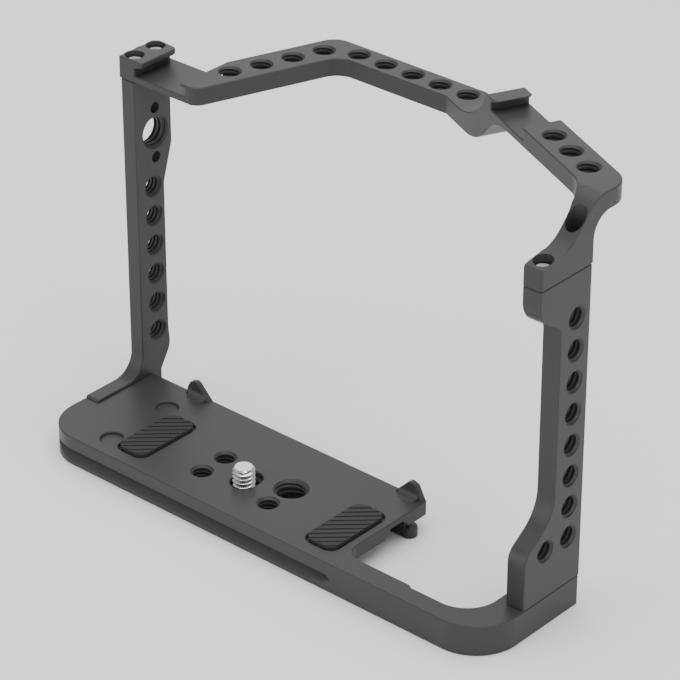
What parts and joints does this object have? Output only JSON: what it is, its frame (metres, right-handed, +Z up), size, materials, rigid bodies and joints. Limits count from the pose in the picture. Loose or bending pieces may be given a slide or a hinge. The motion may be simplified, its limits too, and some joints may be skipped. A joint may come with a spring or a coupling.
{
  "type": "camera cage",
  "caption": "Open metal frame that bolts round a camera: dovetail base, two threaded side plates and a stepped top bar with cold shoes.",
  "frame": {"origin": "middle of the part's plan outline, on the plane of the base's underside", "axes": "+Z up, +Y towards the lens, +X towards the grip side of the camera"},
  "size_m": [0.1604, 0.087, 0.1185],
  "materials": {
    "anodised": "bead-blasted, matte black anodised",
    "rubber": "ribbed matte black rubber",
    "steel": "plain turned stainless steel"
  },
  "bodies": {
    "frame": {"base_plate": "anodised", "left_plate": "anodised", "right_plate": "anodised", "top_bar": "anodised", "pad_left": "rubber", "pad_right": "rubber", "screw_top_left_rear": "steel", "screw_top_left_front": "steel", "screw_top_right_rear": "steel", "screw_top_right_front": "steel", "screw_base_left_rear": "steel", "screw_base_left_front": "steel", "screw_base_right_rear": "steel", "screw_base_right_front": "steel"},
    "washer": {"screw_washer": "steel"},
    "screw": {"camera_screw": "steel"}
  },
  "joints": [
    {"name": "screw_slide", "type": "slide", "parent": "frame", "child": "washer", "axis": [0, 1, 0], "range_m": [-0.0002, 0.0023]},
    {"name": "screw_turn", "type": "hinge", "parent": "washer", "child": "screw", "pos_m": [-0.01565, -0.02852, 0.009], "axis": [0, 0, 1], "continuous": true}
  ]
}
